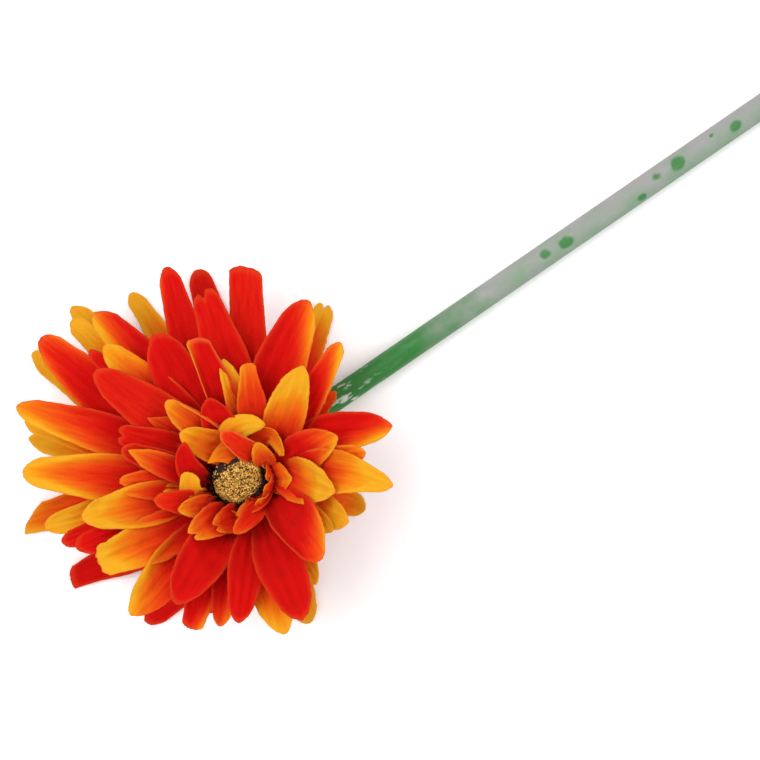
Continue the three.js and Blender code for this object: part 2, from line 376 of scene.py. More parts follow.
@dataclass(frozen=True)
class StemPlastic(Finish):
    """Green polyethylene tube with a pale frosted bloom that has rubbed off in places.

    Near the head the bloom is gone and the plastic is a saturated green with whitish scratches. Further
    out it is pale grey-green with small green spots.

    Attributes:
        rubbed: The green spots: run along the stem, offset across it, and size.
    """

    label: str = "frosted_green_polyethylene"
    green: str = "236E28"
    frost: str = "788E78"
    # Painted shading: the grey that the bloom takes towards one side of the stem
    painted_side_grey: str = "918F8E"
    scratch: str = "C2CCC0"
    fade_start: float = 60.0
    fade_end: float = 100.0
    rubbed: tuple[tuple[float, float, float], ...] = (
        (114.5, 0.0, 1.5), (122.3, -0.6, 1.5), (149.5, -2.2, 1.0), (156.3, 0.5, 1.7), (164.0, 0.0, 1.6),
        (177.2, 1.4, 0.8), (185.2, -0.3, 1.6),
    )
    axis_aside: float = 2.8
    origin: Vector = field(default_factory=Vector)

    def surface(self, tree: NodeTree) -> Node:
        """Build the stem's nodes.

        Args:
            tree: The material's tree.

        Returns:
            The shader.
        """
        place = add_node(tree, "TexCoord")
        centred = add_node(tree, "Mapping", {
            "Location": tuple(-self.origin * MM), "Vector": place.outputs["Object"],
        })
        axes = add_node(tree, "SeparateXYZ", {0: centred})
        cloud = add_node(tree, "TexNoise", {"Scale": 120.0, "Detail": 5.0, "Vector": centred})
        wander = add_node(tree, "Math", {
            0: cloud.outputs["Fac"], 1: 0.03, 2: -0.015,
        }, operation="MULTIPLY_ADD")
        along = add_node(tree, "Math", {0: axes.outputs["X"], 1: wander}, operation="ADD")
        bloom = add_node(tree, "MapRange", {
            "From Min": self.fade_start * MM, "From Max": self.fade_end * MM, "Value": along,
        }, interpolation_type="SMOOTHSTEP")
        flat = add_node(tree, "Mapping", {"Scale": (0.75, 1.0, 0.0), "Vector": centred})
        nearest = None
        for run, aside, size in self.rubbed:
            away = add_node(tree, "VectorMath", {
                0: flat, 1: (0.75 * run * MM, (aside + self.axis_aside) * MM, 0.0),
            }, operation="DISTANCE")
            scaled = add_node(tree, "Math", {0: away.outputs["Value"], 1: size}, operation="DIVIDE")
            if nearest is not None:
                scaled = add_node(tree, "Math", {0: nearest, 1: scaled}, operation="MINIMUM")
            nearest = scaled
        patchy = add_node(tree, "Math", {0: wander, 1: 0.09, 2: nearest}, operation="MULTIPLY_ADD")
        worn = add_node(tree, "MapRange", {
            "From Min": 0.65 * MM, "From Max": 1.15 * MM, "To Min": 0.12, "Value": patchy,
        })
        cover = add_node(tree, "Math", {0: bloom, 1: worn}, operation="MULTIPLY")
        # Painted shading across the stem: the bloom goes greyer and a little paler towards one side
        blurred = add_node(tree, "Math", {0: wander, 1: 0.6, 2: axes.outputs["Y"]}, operation="MULTIPLY_ADD")
        side = add_node(tree, "MapRange", {
            "From Min": (self.axis_aside - 4.0) * MM, "From Max": (self.axis_aside + 4.0) * MM,
            "Value": blurred,
        })
        pale = add_node(tree, "Mix", {0: side, 6: linear(self.frost), 7: linear(self.painted_side_grey)}, data_type="RGBA")
        base = add_node(tree, "Mix", {0: cover, 6: linear(self.green), 7: pale.outputs[2]}, data_type="RGBA")
        long_ways = add_node(tree, "Mapping", {"Scale": (170.0, 420.0, 420.0), "Vector": centred})
        scuffs = add_node(tree, "TexNoise", {"Scale": 1.0, "Detail": 6.0, "Vector": long_ways})
        scuffed = add_node(tree, "MapRange", {
            "From Min": 0.53, "From Max": 0.6, "Value": scuffs.outputs["Fac"],
        })
        near_neck = add_node(tree, "MapRange", {
            "From Min": 54 * MM, "From Max": 40 * MM, "To Min": 0.03, "To Max": 0.9,
            "Value": axes.outputs["X"],
        })
        scratch = add_node(tree, "Math", {0: scuffed, 1: near_neck}, operation="MULTIPLY")
        top = add_node(tree, "Mix", {
            0: scratch, 6: base.outputs[2], 7: linear(self.scratch),
        }, data_type="RGBA")
        grain = add_node(tree, "TexNoise", {"Scale": 1800.0, "Detail": 2.0, "Vector": centred})
        bump = add_node(tree, "Bump", {"Strength": 0.25, "Distance": 0.0001, "Height": grain.outputs["Fac"]})
        rough = add_node(tree, "MapRange", {"To Min": 0.42, "To Max": 0.75, "Value": cover})
        return add_node(tree, "BsdfPrincipled", {
            "IOR": 1.51, "Specular IOR Level": 0.3, "Base Color": top.outputs[2], "Roughness": rough,
            "Normal": bump,
        })


@dataclass(frozen=True)
class MouldedPlastic(Finish):
    """Moulded polyethylene with a fine matt grain, as the calyx and the button have."""

    label: str
    colour: str
    shade: str
    roughness: float = 0.5

    def surface(self, tree: NodeTree) -> Node:
        """Build the plastic's nodes.

        Args:
            tree: The material's tree.

        Returns:
            The shader.
        """
        place = add_node(tree, "TexCoord")
        cloud = add_node(tree, "TexNoise", {"Scale": 260.0, "Detail": 4.0, "Vector": place.outputs["Object"]})
        tone = add_node(tree, "ValToRGB", {"Fac": cloud.outputs["Fac"]})
        ramp(tone, [(0.3, self.shade), (0.7, self.colour)])
        bump = add_node(tree, "Bump", {"Strength": 0.2, "Distance": 0.0001, "Height": cloud.outputs["Fac"]})
        return add_node(tree, "BsdfPrincipled", {
            "Roughness": self.roughness, "IOR": 1.5, "Base Color": tone.outputs["Color"], "Normal": bump,
        })


@dataclass(frozen=True)
class DrawnWire(Finish):
    """Galvanised steel wire, drawn, so it has fine lines along it and a soft metal shine."""

    label: str = "drawn_galvanised_steel"
    colour: str = "9A9C9E"

    def surface(self, tree: NodeTree) -> Node:
        """Build the wire's nodes.

        Args:
            tree: The material's tree.

        Returns:
            The shader.
        """
        place = add_node(tree, "TexCoord")
        along = add_node(tree, "Mapping", {
            "Scale": (60.0, 2500.0, 2500.0), "Vector": place.outputs["Object"],
        })
        lines = add_node(tree, "TexNoise", {"Scale": 1.0, "Vector": along})
        rough = add_node(tree, "MapRange", {"To Min": 0.28, "To Max": 0.5, "Value": lines.outputs["Fac"]})
        return add_node(tree, "BsdfPrincipled", {
            "Base Color": linear(self.colour), "Metallic": 1.0, "Roughness": rough,
        })


@dataclass(frozen=True)
class Granules(Finish):
    """Ground polyester granules glued on a dark dome: dull tan and yellow grains with dark gaps."""

    label: str = "glued_tan_granules"

    def surface(self, tree: NodeTree) -> Node:
        """Build the granules' nodes.

        Args:
            tree: The material's tree.

        Returns:
            The shader.
        """
        tint = add_node(tree, "Attribute", attribute_name="dye")
        tone = add_node(tree, "ValToRGB", {"Fac": tint.outputs["Fac"]})
        ramp(tone, [
            (0.0, "120303"), (0.2, "3A1006"), (0.34, "7A4A14"), (0.6, "B8842C"), (0.85, "D4A342"),
            (1.0, "E8C468"),
        ])
        return add_node(tree, "BsdfPrincipled", {
            "Roughness": 0.85, "IOR": 1.5, "Base Color": tone.outputs["Color"],
        })


@dataclass(frozen=True)
class Filament(Finish):
    """Dark maroon extruded filaments, thin and a little glossy."""

    label: str = "maroon_nylon_filament"

    def surface(self, tree: NodeTree) -> Node:
        """Build the filaments' nodes.

        Args:
            tree: The material's tree.

        Returns:
            The shader.
        """
        tint = add_node(tree, "Attribute", attribute_name="dye")
        tone = add_node(tree, "ValToRGB", {"Fac": tint.outputs["Fac"]})
        ramp(tone, [(0.0, "080304"), (0.6, "2A0608"), (1.0, "7A1C10")])
        return add_node(tree, "BsdfPrincipled", {
            "Roughness": 0.45, "IOR": 1.53, "Base Color": tone.outputs["Color"],
        })


# ---------------------------------------------------------------------------
# Petals


class Cut(Enum):
    """How a petal's tip is cut."""

    ROUND = "round"
    POINTED = "pointed"
    BLUNT = "blunt"
    NOTCHED = "notched"


@dataclass(frozen=True)
class Petal:
    """One petal of a die-cut layer. Angles are in degrees, lengths in millimetres, seen from above.

    Attributes:
        azimuth: Where the tip points, from the stem, anticlockwise.
        reach: The tip's distance from the disc's middle.
        width: The widest place.
        root: Where the petal leaves the disc, if not at the tip's azimuth.
        bow: How far the middle stands off the straight line, anticlockwise.
        lift: Extra rise of the whole petal.
        arch: How much steeper it starts than it ends, each way from its middle.
        rise: The petal's own rise at its root and tip, in place of its layer's.
        hook: Extra turn up near the tip.
        cup: How far the edges turn up round the petal's length.
        roll: Extra turn up of the clockwise edge and of the anticlockwise edge.
        twist: How far the anticlockwise edge turns up at the tip.
        standing: The length of a petal that stands by the disc, where its reach can't give it.
        cut: The tip's cut.
        slant: How much shorter the anticlockwise side is.
        taper: How much narrower the tip is than the widest place.
        fray: How ragged the edge is.
        tone: The lightest red it starts from.
        red: Where along the petal the yellow dye starts.
        fade: How long the dye takes to change.
        lean: Pull of the yellow to the anticlockwise edge.
        halo: Pull of the yellow to both edges.
        rim: How strong the painted highlight along the edges and the tip is.
    """

    azimuth: float
    reach: float
    width: float = 11.0
    root: float | None = None
    bow: float = 0.0
    lift: float = 0.0
    arch: float = 12.0
    rise: tuple[float, float] | None = None
    hook: float = 0.0
    cup: float = 60.0
    roll: tuple[float, float] = (0.0, 0.0)
    twist: float = 0.0
    standing: float | None = None
    cut: Cut = Cut.ROUND
    slant: float = 0.0
    taper: float = 0.42
    fray: float = 1.0
    tone: float = 0.08
    red: float = 0.6
    fade: float = 0.62
    lean: float = 0.0
    halo: float = 0.12
    rim: float = 0.14


@dataclass
class PetalShape:
    """Builds one petal as a fine grid of cloth.

    Attributes:
        petal: What the petal is.
        head: The head's frame.
        layer_rise: The layer's rise from the head's plane, or None for the drooping layer.
        height: The layer's height on the peg.
        seed: What its small irregularities start from.
        along: Steps along the petal.
        over: Steps across it, an even number.
    """

    petal: Petal
    head: Head
    layer_rise: float | None
    height: float
    seed: int
    along: int = 44
    over: int = 16
    root_radius: float = 8.95
    crease: float = 0.6
    lowest: float = 0.25

    def chance(self, number: int) -> float:
        """A steady number from -1 to 1 that belongs to this petal."""
        return 1.6 * noise.noise(Vector((self.seed * 2.13 + 0.5, number * 7.7 + 0.3, 0.4)))

    def tip(self) -> Vector:
        """The tip's place in plan."""
        spot = self.head.disc + polar(self.petal.azimuth) * self.petal.reach
        return Vector((spot.x, spot.y, 0.0))

    def rises(self) -> tuple[float, float]:
        """The petal's elevation in the world at its root and its tip, in degrees."""
        if self.petal.rise:
            return self.petal.rise
        lean = self.head.tilt * math.cos(math.radians(self.petal.azimuth - self.head.toward))
        middle = (self.layer_rise or 0.0) - lean + self.petal.lift
        return middle + self.petal.arch, middle - self.petal.arch

    def centre_line(self) -> list[Vector]:
        """Points along the petal's middle, evenly spaced in its length.

        Returns:
            One point for each step along, and one more.
        """
        p = self.petal
        root_angle = p.azimuth if p.root is None else p.root
        start = self.head.place(root_angle, self.root_radius, self.height)
        flat_start = Vector((start.x, start.y, 0.0))
        tip = self.tip()
        chord = tip - flat_start
        side = Vector((-chord.y, chord.x, 0.0)).normalized()
        middle = (flat_start + tip) / 2 + side * (2 * (p.bow + 0.5 * self.chance(1)))
        steps = [i / self.along for i in range(self.along + 1)]
        if self.layer_rise is None and not p.rise:
            return [self.drooping(flat_start, middle, tip, start.z, s) for s in steps]
        first, last = (math.radians(e) for e in self.rises())
        hook = math.radians(p.hook + 18 * self.chance(2))
        angles = [first + (last - first) * s**1.2 + hook * smooth(0.62, 1.0, s) for s in steps]
        flat, up = [0.0], [0.0]
        for a, b in zip(angles, angles[1:]):
            flat.append(flat[-1] + math.cos((a + b) / 2) / self.along)
            up.append(up[-1] + math.sin((a + b) / 2) / self.along)
        if p.standing:
            out = polar(root_angle)
            drift = polar(root_angle + 90) * p.bow
            return [
                start + out * (run * p.standing) + drift * s**2 + Vector((0, 0, climb * p.standing))
                for s, run, climb in zip(steps, flat, up)
            ]
        length = chord.length / max(0.2, flat[-1])
        line = []
        for run, climb in zip(flat, up):
            share = run / flat[-1]
            spot = flat_start * (1 - share) ** 2 + middle * (2 * share * (1 - share)) + tip * share**2
            line.append(Vector((spot.x, spot.y, max(0.4, start.z + climb * length))))
        return line

    @staticmethod
    def drooping(start: Vector, middle: Vector, tip: Vector, height: float, share: float) -> Vector:
        """A point of a petal that droops until it lies on the surface."""
        spot = start * (1 - share) ** 2 + middle * (2 * share * (1 - share)) + tip * share**2
        down = 1.0 - smooth(0.03, 0.86, share)
        return Vector((spot.x, spot.y, 0.5 + (height - 0.5) * down))

    def outline(self, share: float) -> float:
        """The half width along the petal, as a share of its widest."""
        opening = 0.46 + 0.54 * smooth(0.0, 0.54, share)
        return opening * (1.0 - self.petal.taper * smooth(0.56, 1.0, share))

    def end(self, v: float, length: float) -> float:
        """Where along the petal it ends, at a place across it.

        Args:
            v: Place across, from -1 to 1.
            length: The petal's length.

        Returns:
            A share of the length.
        """
        p = self.petal
        half = p.width / 2 / length
        narrow = half * (1 - p.taper)
        rough = 0.07 * noise.noise(Vector((v * 1.6, self.seed * 1.7, 0.0)))
        rough += 0.045 * p.fray * noise.noise(Vector((v * 9.0, self.seed * 2.3, 4.0)))
        round_off = 1 - math.sqrt(max(0.0, 1 - (0.99 * v) ** 2))
        if p.cut is Cut.POINTED:
            drop = 2.4 * narrow * abs(v) ** 1.3
        elif p.cut is Cut.BLUNT:
            drop = 0.4 * narrow * abs(v) ** 3
        elif p.cut is Cut.NOTCHED:
            drop = 1.1 * narrow * round_off + 0.6 * narrow * math.exp(-(((v - 0.15) / 0.2) ** 2))
        else:
            drop = (0.8 * round_off + (0.7 + 0.35 * self.chance(3)) * abs(v) ** 1.8) * narrow
        return 1.0 - drop - (p.slant + 0.18 * self.chance(4)) * narrow * v + rough * half

    def section(self, share: float) -> list[tuple[float, float]]:
        """The petal's curve across its length.

        Args:
            share: The place along the petal.

        Returns:
            For each column, how far it stands aside and up, as shares of the half width.
        """
        p = self.petal
        half = self.over // 2
        bend = math.radians(p.cup + 16 * self.chance(5)) / 2
        bend *= smooth(0.0, 0.35, share) * (1 - 0.3 * smooth(0.7, 1.0, share))
        made = {0: (0.0, 0.0)}
        for sign, extra in ((-1, p.roll[0]), (1, p.roll[1])):
            turn = math.radians(extra) * smooth(0.1, 0.55, share)
            out = up = 0.0
            for k in range(half):
                v = (k + 0.5) / half
                angle = bend * v + turn * smooth(0.3, 1.0, v)
                out += math.cos(angle) / half
                up += math.sin(angle) / half
                made[sign * (k + 1)] = (sign * out, up)
        return [made[k] for k in range(-half, half + 1)]

    def relief(self, share: float, v: float) -> float:
        """Height of the pressed grooves and of the cloth's waves, in millimetres."""
        size = self.petal.width / 11
        groove = math.exp(-((v / 0.15) ** 2)) + 0.6 * math.exp(-(((abs(v) - 0.52) / 0.13) ** 2))
        pressed = -self.crease * size * groove * smooth(0.04, 0.35, share)
        pressed *= 1 - 0.7 * smooth(0.8, 1.0, share)
        wave = noise.noise(Vector((share * 4.0, v * 0.8, self.seed * 0.91))) * 0.9 * (0.3 + abs(v))
        ripple = noise.noise(Vector((share * 10.0, v * 2.4, self.seed * 3.7))) * 0.45
        return pressed + (wave + ripple) * size

    def frame_at(self, line: list[Vector], share: float) -> tuple[Vector, Vector, Vector]:
        """The middle point, the side and the up direction at a place along the petal."""
        at = share * self.along
        i = min(self.along - 1, int(at))
        here = line[i].lerp(line[i + 1], at - i)
        ahead = (line[i + 1] - line[i]).normalized()
        level = Vector((-ahead.y, ahead.x, 0.0))
        chord = polar(self.petal.root or self.petal.azimuth) if self.petal.standing else line[-1] - line[0]
        general = Vector((-chord.y, chord.x, 0.0)).normalized()
        if level.length < 0.2:
            level = general
        elif level.dot(general) < 0 and not self.petal.bow:
            level = -level
        side = level.normalized()
        up = ahead.cross(side).normalized()
        turn = math.radians(self.petal.twist + 12 * self.chance(6)) * smooth(0.1, 1.0, share)
        return here, side * math.cos(turn) + up * math.sin(turn), up * math.cos(turn) - side * math.sin(turn)

    def dye(self, share: float, v: float) -> float:
        """How yellow the cloth is, from 0 to 1."""
        p = self.petal
        wander = 0.07 * noise.noise(Vector((share * 3.0, v * 2.0, self.seed * 5.1)))
        place = share + 0.3 * p.lean * v + p.halo * v * v + wander
        yellow = min(1.0, max(0.0, (place - p.red) / p.fade)) ** 1.3
        return p.tone + (1 - p.tone) * yellow

    def add_to(self, shape: BMesh) -> float:
        """Add the petal to a layer's mesh.

        Args:
            shape: The layer's mesh.

        Returns:
            The petal's flat area in square millimetres.
        """
        p = self.petal
        line = self.centre_line()
        length = sum((b - a).length for a, b in zip(line, line[1:]))
        verts = bmesh.ops.create_grid(shape, x_segments=self.along, y_segments=self.over, size=0.5)["verts"]
        uv = shape.loops.layers.uv["cloth"]
        dye, rim, depth = (shape.verts.layers.float[name] for name in ("dye", "rim", "depth"))
        half = p.width / 2
        sections = [self.section(i / self.along) for i in range(self.along + 1)]
        ends = [self.end(2 * k / self.over - 1, length) for k in range(self.over + 1)]
        flat: dict[BMVert, tuple[float, float]] = {}
        for vert in verts:
            row = round((vert.co.x + 0.5) * self.along)
            column = round((vert.co.y + 0.5) * self.over)
            v = 2 * column / self.over - 1
            share = row / self.along * ends[column]
            here, side, up = self.frame_at(line, share)
            out, raised = sections[row][column]
            ragged = noise.noise(Vector((share * 40.0, v, self.seed * 1.3))) * 0.04 * p.fray * v**4
            spread = half * self.outline(share) * (1 + ragged)
            vert.co = here + side * (out * spread) + up * (raised * spread + self.relief(share, v))
            vert.co.z = max(vert.co.z, self.lowest)
            flat[vert] = (v * spread, share * length)
            vert[dye] = self.dye(share, v)
            # Painted highlight along the side edges and across the tip
            vert[rim] = p.rim * max(smooth(0.82, 1.0, abs(v)), smooth(0.95, 1.0, row / self.along))
            # Painted shade, darkest at the root and gone by 40 % along the petal
            vert[depth] = 0.5 * (1 - smooth(0.0, 0.4, share))
        area = 0.0
        for face in {f for vert in verts for f in vert.link_faces}:
            corners = [flat[loop.vert] for loop in face.loops]
            for loop, spot in zip(face.loops, corners):
                loop[uv].uv = spot
            twice = sum(a[0] * b[1] - b[0] * a[1] for a, b in zip(corners, corners[1:] + corners[:1]))
            area += abs(twice) / 2
        return area


@dataclass
class PetalLayer:
    """One die-cut layer of cloth: a small disc on the peg with its petals.

    Attributes:
        number: The layer's place from the back.
        rise: How steeply it rises from the head's plane, or None if it droops.
        petals: Its petals.
        head: The head's frame.
    """

    number: int
    rise: float | None
    petals: list[Petal]
    head: Head
    thickness: float = 0.35
    disc_radius: float = 9.6
    hole_radius: float = 2.3
    along: int = 44
    over: int = 16

    def height(self) -> float:
        """The layer's height on the peg."""
        return self.head.first + self.head.pitch * (self.number - 1)

    def disc(self, shape: BMesh) -> float:
        """Add the disc that the petals share.

        Args:
            shape: The layer's mesh.

        Returns:
            Its flat area in square millimetres.
        """
        ring = bmesh.ops.create_circle(shape, cap_ends=False, radius=self.hole_radius, segments=40)["verts"]
        edges = list({e for v in ring for e in v.link_edges})
        wide = bmesh.ops.extrude_edge_only(shape, edges=edges)["geom"]
        outer = [g for g in wide if isinstance(g, BMVert)]
        grow = self.disc_radius / self.hole_radius
        bmesh.ops.scale(shape, vec=(grow, grow, 1.0), verts=outer)
        place = self.head.matrix() @ Matrix.Translation((0, 0, self.height() + 0.2))
        uv = shape.loops.layers.uv["cloth"]
        for face in {f for v in ring for f in v.link_faces}:
            for loop in face.loops:
                loop[uv].uv = (loop.vert.co.x, loop.vert.co.y)
        bmesh.ops.transform(shape, matrix=place, verts=[*ring, *outer])
        return math.pi * (self.disc_radius**2 - self.hole_radius**2)

    def build(self, material: Material) -> Object:
        """Args:
            material: The cloth.

        Returns:
            The layer's object.
        """
        shape = bmesh.new()
        shape.loops.layers.uv.new("cloth")
        for name in ("dye", "rim", "depth"):
            shape.verts.layers.float.new(name)
        area = self.disc(shape)
        for i, petal in enumerate(self.petals):
            lift = self.height() + 0.07 * (i % 3)
            maker = PetalShape(petal, self.head, self.rise, lift, self.number * 31 + i, self.along, self.over)
            area += maker.add_to(shape)
        made = mesh_object(f"cloth_petal_layer_{self.number}", shape, material)
        wall = made.modifiers.new("cloth_thickness", "SOLIDIFY")
        wall.thickness = self.thickness * MM
        wall.offset = 0.0
        wall.use_rim = True
        stand_for(made, f"petal_layer_{self.number}")
        longest = max(p.reach for p in self.petals) + 14
        side = max(2 * longest, math.sqrt(area) * 1.02)
        side = min(side, math.sqrt(area / 0.32))
        return made


P, B, N = Cut.POINTED, Cut.BLUNT, Cut.NOTCHED

LAYERS: list[tuple[float | None, list[Petal]]] = [
    (None, [
        Petal(29, 58.5, 11, root=18, red=0.5, fade=0.45, cut=N, fray=2),
        Petal(68, 64.5, 12.5, root=42, red=1.1, tone=0.16),
        Petal(87, 65.5, 9.5, root=72, red=0.3),
        Petal(101, 73.5, 10, root=88, red=0.25),
        Petal(115.5, 74.5, 13, root=142, red=0.3),
        Petal(136, 66.5, 12, root=130, red=0.3),
        Petal(157.5, 67, 14.5, root=124, red=0.5, cut=B, taper=0.4, slant=-0.75),
        Petal(177, 62, 13.5, root=-165, red=1.3, cut=B, taper=0.5, slant=-0.5),
        Petal(-157, 54.5, 12.5, root=-128, red=1.2),
        Petal(-138, 44, 10.5, red=0.9),
        Petal(-100, 50.5, 14, root=-106, red=0.35),
        Petal(-62, 31, 9, red=0.5),
        Petal(-50, 39.5, 11, root=-25, red=0.4),
    ]),
    (13.0, [
        Petal(8, 39, 8, lift=-6, red=0.8, tone=0.35, cut=N, fray=4),
        Petal(18, 50.5, 9, root=-5, red=0.66, fade=0.4, lift=6, lean=-0.5, fray=2),
        Petal(53.5, 63, 11.5, root=32, red=1.3, cut=B, taper=0.1, tone=0.18, slant=-0.3),
        Petal(75, 67, 11.5, root=104, red=0.95, lean=0.8, tone=0.12),
        Petal(97, 66.5, 13.5, root=72, red=0.55, lean=1.1),
        Petal(103, 70, 10.5, root=94, red=0.25, lift=-5),
        Petal(131, 67, 11.5, root=114, red=0.3),
        Petal(160, 60, 11, root=130, red=0.3),
        Petal(166, 56.5, 9, root=142, red=0.95, tone=0.15),
        Petal(-162, 51.5, 14.5, root=-172, red=0.42, lean=-0.7),
        Petal(-141, 46.5, 11.5, root=-163, red=0.75, lean=0.6, cut=B),
        Petal(-131, 44, 9.5, root=-148, red=0.65, lean=0.5),
        Petal(-107, 47.5, 14, root=-113, red=0.35, taper=0.3),
        Petal(-87, 39, 10, root=-60, red=0.3),
        Petal(-16, 48.5, 13.5, root=28, bow=1.5, red=0.6, lean=-1.1),
    ]),
    (22.0, [
        Petal(34, 57, 16.5, root=56, red=0.66, lean=-1.1, lift=-4, tone=0.12),
        Petal(66, 57, 14, root=26, red=1.0, tone=0.14, cut=N),
        Petal(111, 73.5, 15.5, root=138, red=0.75, lift=-4, halo=0.3),
        Petal(128, 69.5, 13, root=110, red=0.45, lean=0.6),
        Petal(144, 64, 15, red=0.38, halo=0.3),
        Petal(169, 52, 11, red=1.1, tone=0.12),
        Petal(177, 48, 15, root=-172, red=0.32, cut=B, taper=0.35, fray=2),
        Petal(-123, 42, 11.5, root=-104, red=1.3),
        Petal(-98, 44.8, 15, root=-95, red=1.4),
        Petal(-56, 35.5, 12.5, root=-34, red=0.25, lift=-5),
        Petal(-37, 46, 13.5, root=-4, bow=2.5, red=0.22, taper=0.6),
        Petal(-23, 39, 10, root=-17, red=0.5),
    ]),
    (30.0, [
        Petal(-11, 32, 13.5, root=-13, red=0.5, lean=-0.3),
        Petal(25, 38.5, 13, root=2, red=0.2, lean=0.2, cup=75),
        Petal(86, 49.5, 16.5, root=98, red=0.95, lean=0.6, taper=0.35),
        Petal(101.5, 56, 12, root=76, red=0.4, lift=-3),
        Petal(105, 58.5, 7, root=125, red=1.0, twist=35, lift=-4),
        Petal(109, 52.5, 14.5, root=88, red=1.1, tone=0.2, lift=4),
        Petal(160, 47, 14, root=153, red=0.3, halo=0.25),
        Petal(-151, 40, 15.5, root=-149, red=1.2, cup=75),
        Petal(-78, 34, 18, root=-52, red=0.66, lean=0.9, roll=(75, 0)),
        Petal(-63, 32.5, 8.5, root=-44, red=0.35, lift=-8),
        Petal(-42, 29.5, 14, root=-5, red=0.22, lean=0.3, halo=0.2),
    ]),
    (38.0, [
        Petal(50, 34, 9.5, root=24, red=0.6, cut=B, lean=0.4, taper=0.5, tone=0.3),
        Petal(62, 35.5, 8.5, root=34, red=0.35, twist=30, tone=0.25, roll=(60, 0)),
        Petal(72, 43, 11, root=58, red=0.85, lean=1.2, cut=B, taper=0.3, roll=(0, 75), rim=0.4),
        Petal(112, 32, 8.5, root=82, red=0.7, cut=P, tone=0.25),
        Petal(125, 38, 11, root=105, red=1.0, cut=N, tone=0.15, fray=2),
        Petal(131, 35, 9, root=148, red=0.9, tone=0.2),
        Petal(149, 35, 11, root=142, red=0.6, cut=N, tone=0.2, fray=2),
    ]),
    (46.0, [
        Petal(99, 31, 11.5, root=62, red=0.45, tone=0.25, roll=(125, 0), rim=0.5),
        Petal(107, 21.5, 10.5, root=66, red=0.4, tone=0.4, rise=(62, 0)),
        Petal(131, 33, 8, root=148, red=0.45, cut=P),
        Petal(147, 26.5, 9, root=138, red=0.25, hook=-35, lift=-7),
        Petal(160, 25, 8, root=-168, red=0.8, tone=0.2),
        Petal(-163, 21.5, 10.5, root=-144, red=0.5, tone=0.2, cut=N, rise=(72, 18), fray=2),
    ]),
    (54.0, [
        Petal(27, 17.5, 9, root=84, bow=5, red=0.2, tone=0.4, rise=(88, -15), cup=-50, rim=0.3),
        Petal(-10, 15, 6.5, root=42, bow=6.5, red=0.5, tone=0.35, rise=(85, 5), twist=50, fray=4),
        Petal(75, 25, 11.5, root=70, red=1.3, tone=0.08),
        Petal(110, 18.5, 8, root=150, bow=3.5, red=1.3, rise=(70, 15)),
        Petal(-149, 15.5, 9, root=-120, red=0.6, tone=0.2, rise=(76, 22), cut=N, fray=2),
        Petal(-126, 16, 6.5, root=-75, bow=0.5, red=0.7, tone=0.25, rise=(74, 20)),
        Petal(174, 19.5, 7.5, root=-165, red=0.5, tone=0.3, rise=(68, 12)),
        Petal(-34, 16.5, 11.5, root=-28, red=0.45, tone=0.4, rise=(78, 8), cup=30, taper=0.2, rim=0.3),
    ]),
    (61.0, [
        Petal(74, 14.5, 7, root=20, red=0.9, tone=0.3, rise=(88, 2), rim=0.6),
        Petal(119, 9.6, 9, root=40, bow=-2.2, red=0.5, tone=0.45, rise=(80, -20), cut=P, taper=0.3),
        Petal(26, 12, 7, root=-10, red=0.5, tone=0.42, rise=(72, 25)),
        Petal(139, 13.5, 7.5, root=180, bow=4.2, red=0.4, rise=(72, 5), tone=0.5, cut=B, taper=0.25, cup=30),
        Petal(-125, 11, 6, root=-40, bow=1.2, red=0.55, tone=0.2, rise=(55, 0), twist=45),
        Petal(2, 9, 7.5, standing=6.5, red=0.6, tone=0.2, rise=(80, 128), rim=0.4),
        Petal(-22, 9, 8, standing=8, red=0.6, tone=0.3, rise=(78, 128), rim=0.4),
        Petal(-50, 9, 8.5, standing=8.5, red=0.6, tone=0.22, rise=(78, 130), rim=0.4),
        Petal(-80, 9, 8.5, standing=8, red=0.5, tone=0.25, rise=(76, 128), rim=0.4),
        Petal(-112, 9, 8.5, standing=7.5, red=0.5, tone=0.22, rise=(74, 124), rim=0.4),
        Petal(-142, 9, 8, standing=7, red=0.6, tone=0.2, rise=(72, 116), rim=0.3),
    ]),
]


# ---------------------------------------------------------------------------
# Stem, calyx, button, stamens and dome


